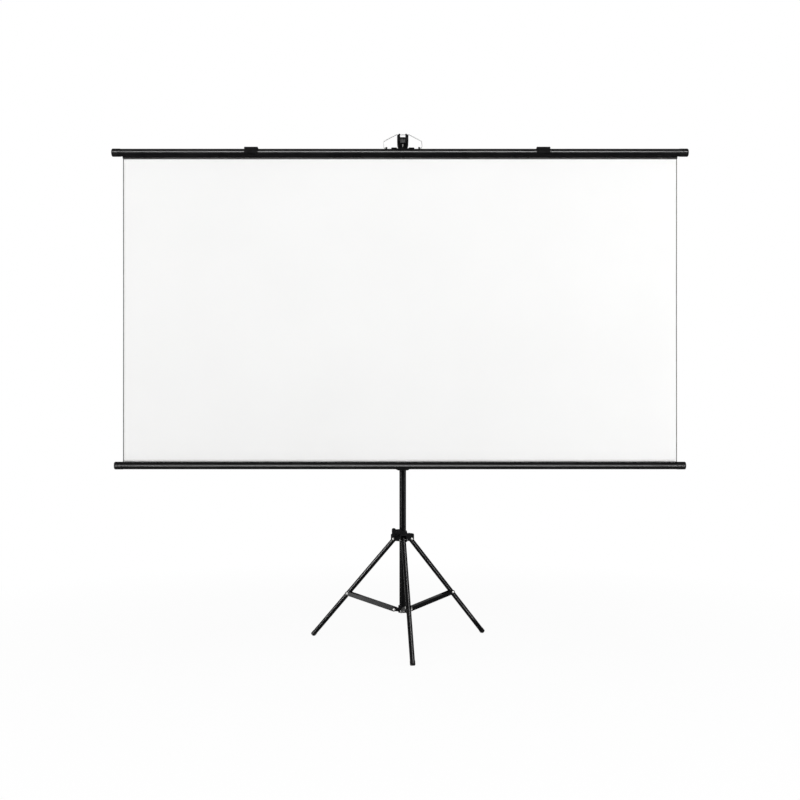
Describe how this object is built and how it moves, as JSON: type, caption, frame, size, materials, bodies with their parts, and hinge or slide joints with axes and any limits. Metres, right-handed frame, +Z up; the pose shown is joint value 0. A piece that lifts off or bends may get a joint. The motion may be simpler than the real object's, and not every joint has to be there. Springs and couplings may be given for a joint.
{
  "type": "portable projection screen",
  "caption": "Wide pull-down projection screen with a roller case and weight bar, hung by a wire bail on a telescoping mast with a folding tripod.",
  "frame": {"origin": "on the floor, below the centre of the whole object's box", "axes": "+X along the screen to the viewer's right, +Y from the viewer to the back, +Z up"},
  "size_m": [2.298, 0.6654, 2.0433],
  "materials": {
    "black_tube": "black powder coat, satin",
    "black_leg_tube": "black paint, semi-gloss",
    "black_moulding": "fine moulded grain",
    "inner_plastic": "plain moulded",
    "black_rubber": "matte",
    "bright_rivet": "bright nickel plate",
    "bright_wire": "bright plated wire",
    "roller_metal": "mill finish",
    "white_sheet": "matte white coated sheet"
  },
  "bodies": {
    "stand": {"mast_lower_tube": "black_tube", "brace_hub": "black_moulding", "brace_hub_rivets": "bright_rivet", "clamp_collar": "black_moulding", "clamp_bush": "inner_plastic", "bar_cradle": "black_moulding", "cradle_screw": "bright_rivet"},
    "leg_hub": {"leg_hub": "black_moulding", "leg_rivets": "bright_rivet"},
    "hub_knob": {"hub_knob": "black_moulding", "hub_knob_stud": "bright_rivet"},
    "clamp_knob": {"clamp_knob": "black_moulding", "clamp_knob_stud": "bright_rivet"},
    "upper_mast": {"mast_upper_tube": "black_tube", "upper_tube_guide": "inner_plastic", "mast_head": "black_moulding", "head_screw": "bright_rivet"},
    "case": {"case_tube": "black_tube", "case_cap_left": "black_moulding", "case_cap_right": "black_moulding", "spring_spindle": "bright_rivet", "roller_spring": "bright_rivet", "screen_fabric": "white_sheet", "bail_clip_left": "black_moulding", "bail_clip_right": "black_moulding", "bail_saddle": "black_moulding"},
    "roller": {"roller_tube": "roller_metal", "roller_plug_spring_end": "inner_plastic", "roller_plug_idle_end": "inner_plastic", "fabric_roll": "white_sheet"},
    "bail": {"bail": "bright_wire"},
    "weight_bar": {"weight_bar": "black_tube", "weight_bar_cap_left": "black_moulding", "weight_bar_cap_right": "black_moulding", "fabric_rod": "roller_metal"},
    "hanger_left": {"hanger_left": "black_moulding"},
    "hanger_right": {"hanger_right": "black_moulding"},
    "leg_1": {"leg_tube_1": "black_leg_tube", "leg_top_plug_1": "black_moulding", "foot_1": "black_rubber"},
    "brace_1": {"brace_1": "black_leg_tube", "brace_rivets_1": "bright_rivet"},
    "leg_2": {"leg_tube_2": "black_leg_tube", "leg_top_plug_2": "black_moulding", "foot_2": "black_rubber"},
    "brace_2": {"brace_2": "black_leg_tube", "brace_rivets_2": "bright_rivet"},
    "leg_3": {"leg_tube_3": "black_leg_tube", "leg_top_plug_3": "black_moulding", "foot_3": "black_rubber"},
    "brace_3": {"brace_3": "black_leg_tube", "brace_rivets_3": "bright_rivet"}
  },
  "joints": [
    {"name": "hub_slide", "type": "slide", "parent": "stand", "child": "leg_hub", "axis": [0, 0, 1], "range_m": [0, 0.2493]},
    {"name": "leg_fold_1", "type": "hinge", "parent": "leg_hub", "child": "leg_1", "pos_m": [0.01422, 0.05066, 0.4225], "axis": [0.9962, 0.0872, 0], "range_deg": [0, 40.01]},
    {"name": "brace_fold_1", "type": "hinge", "parent": "stand", "child": "brace_1", "pos_m": [0.01405, 0.05265, 0.137], "axis": [-0.9962, -0.0872, 0], "range_deg": [0, 73.25]},
    {"name": "leg_fold_2", "type": "hinge", "parent": "leg_hub", "child": "leg_2", "pos_m": [0.04131, 0.10874, 0.4225], "axis": [-0.5736, 0.8192, 0], "range_deg": [0, 40.01]},
    {"name": "brace_fold_2", "type": "hinge", "parent": "stand", "child": "brace_2", "pos_m": [0.03967, 0.1076, 0.137], "axis": [0.5736, -0.8192, 0], "range_deg": [0, 73.25]},
    {"name": "leg_fold_3", "type": "hinge", "parent": "leg_hub", "child": "leg_3", "pos_m": [-0.02253, 0.10316, 0.4225], "axis": [-0.4226, -0.9063, 0], "range_deg": [0, 40.01]},
    {"name": "brace_fold_3", "type": "hinge", "parent": "stand", "child": "brace_3", "pos_m": [-0.02072, 0.10231, 0.137], "axis": [0.4226, 0.9063, 0], "range_deg": [0, 73.25]},
    {"name": "hub_knob_turn", "type": "hinge", "parent": "leg_hub", "child": "hub_knob", "pos_m": [-0.01439, 0.06974, 0.45], "axis": [-0.8192, -0.5736, 0], "continuous": true},
    {"name": "clamp_knob_turn", "type": "hinge", "parent": "stand", "child": "clamp_knob", "pos_m": [0.011, 0.11752, 1.132], "axis": [0, 1, 0], "continuous": true},
    {"name": "mast_extend", "type": "slide", "parent": "stand", "child": "upper_mast", "axis": [0, 0, 1], "range_m": [0, 0.4]},
    {"name": "screen_lift_off", "type": "slide", "parent": "upper_mast", "child": "case", "axis": [0, -0.7071, 0.7071], "range_m": [0, 0.15]},
    {"name": "bail_fold", "type": "hinge", "parent": "case", "child": "bail", "pos_m": [0.011, 0.02602, 1.9884], "axis": [-1, 0, 0], "range_deg": [0, 90.01]},
    {"name": "screen_retract", "type": "slide", "parent": "case", "child": "weight_bar", "axis": [0, 0, 1], "range_m": [0, 1.185], "deforming": ["screen_fabric"]},
    {"name": "roller_spin", "type": "hinge", "parent": "case", "child": "roller", "pos_m": [0.011, 0.02602, 1.97], "axis": [1, 0, 0], "range_deg": [0, 5755.84]},
    {"name": "hanger_slide_left", "type": "slide", "parent": "case", "child": "hanger_left", "axis": [1, 0, 0], "range_m": [-0.2, 0.2]},
    {"name": "hanger_slide_right", "type": "slide", "parent": "case", "child": "hanger_right", "axis": [1, 0, 0], "range_m": [-0.2, 0.2]}
  ],
  "couplings": [
    {"joint": "leg_fold_1", "follows": "hub_slide", "rad_per_m": 2.8004},
    {"joint": "brace_fold_1", "follows": "hub_slide", "rad_per_m": 5.1277},
    {"joint": "leg_fold_2", "follows": "hub_slide", "rad_per_m": 2.8004},
    {"joint": "brace_fold_2", "follows": "hub_slide", "rad_per_m": 5.1277},
    {"joint": "leg_fold_3", "follows": "hub_slide", "rad_per_m": 2.8004},
    {"joint": "brace_fold_3", "follows": "hub_slide", "rad_per_m": 5.1277},
    {"joint": "bail_fold", "follows": "screen_lift_off", "rad_per_m": 10.472},
    {"joint": "roller_spin", "follows": "screen_retract", "rad_per_m": 84.76}
  ]
}
